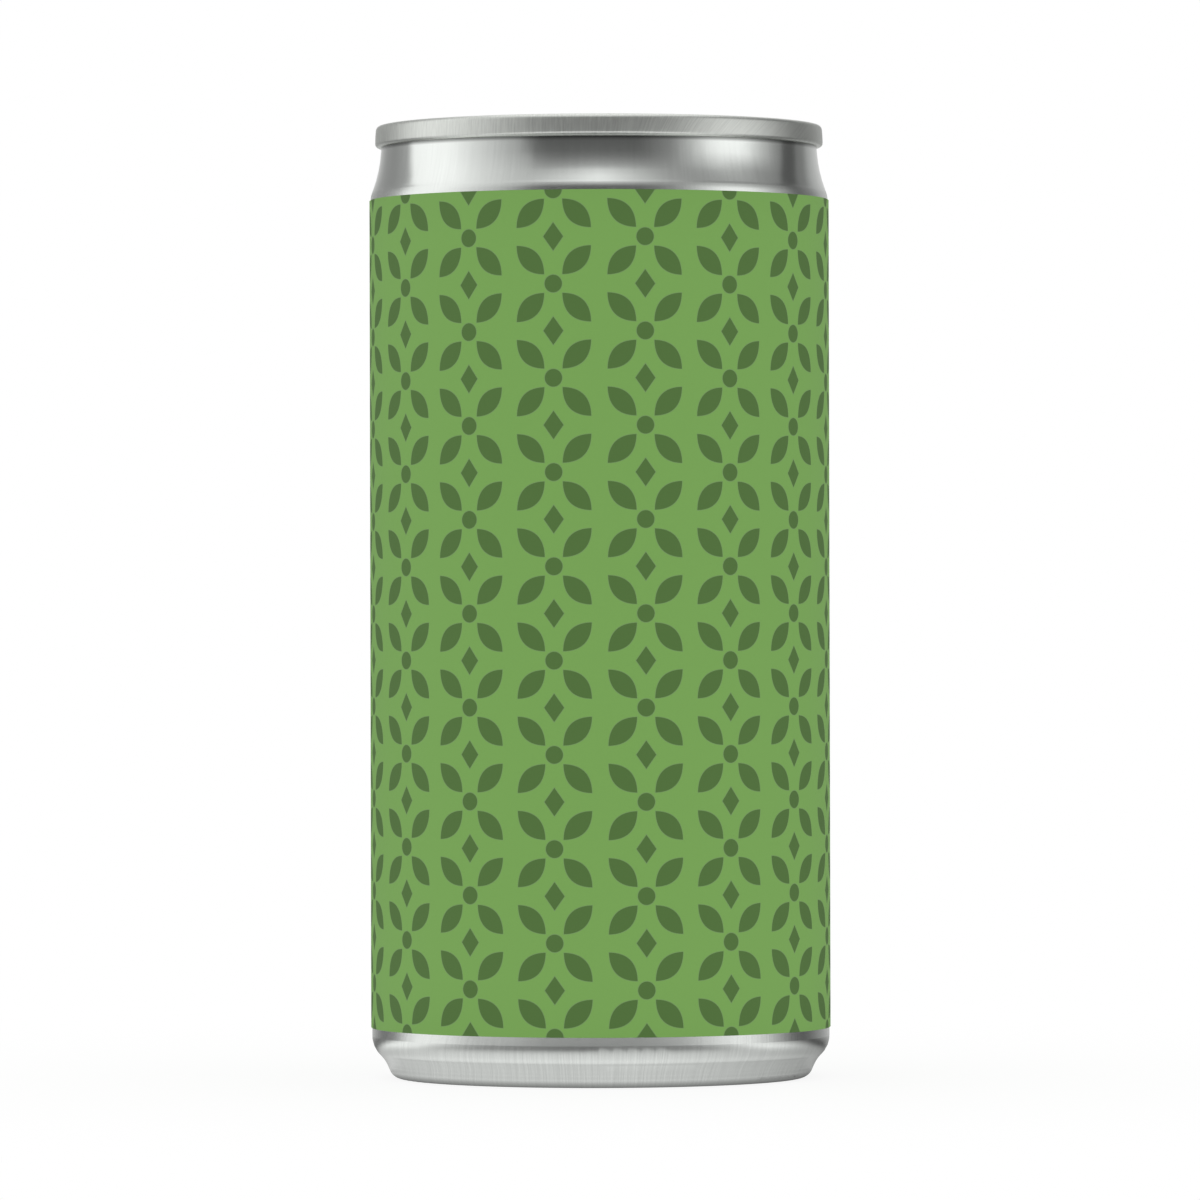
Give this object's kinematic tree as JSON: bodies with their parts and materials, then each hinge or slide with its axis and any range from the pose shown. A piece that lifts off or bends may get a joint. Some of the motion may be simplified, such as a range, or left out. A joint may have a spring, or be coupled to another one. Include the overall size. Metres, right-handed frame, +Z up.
{
  "type": "cocktail can",
  "caption": "Shut slim aluminium drinks can with a green patterned film label, a double-seamed end, a stay-on pull tab and a domed base.",
  "frame": {"origin": "centre of the circle that the foot stands on", "axes": "+Z up along the can's axis, the mouth towards -Y and the tab's tail towards +Y"},
  "size_m": [0.0536, 0.0536, 0.1106],
  "materials": {
    "body_metal": "drawn and ironed, satin mirror",
    "end_metal": "rolled sheet, brushed satin",
    "tab_metal": "rolled sheet, satin",
    "label_print": "printed film, satin"
  },
  "bodies": {
    "root": {"can_body": "body_metal", "can_end": "end_metal", "pull_tab": "tab_metal", "label_film": "label_print"}
  },
  "joints": []
}
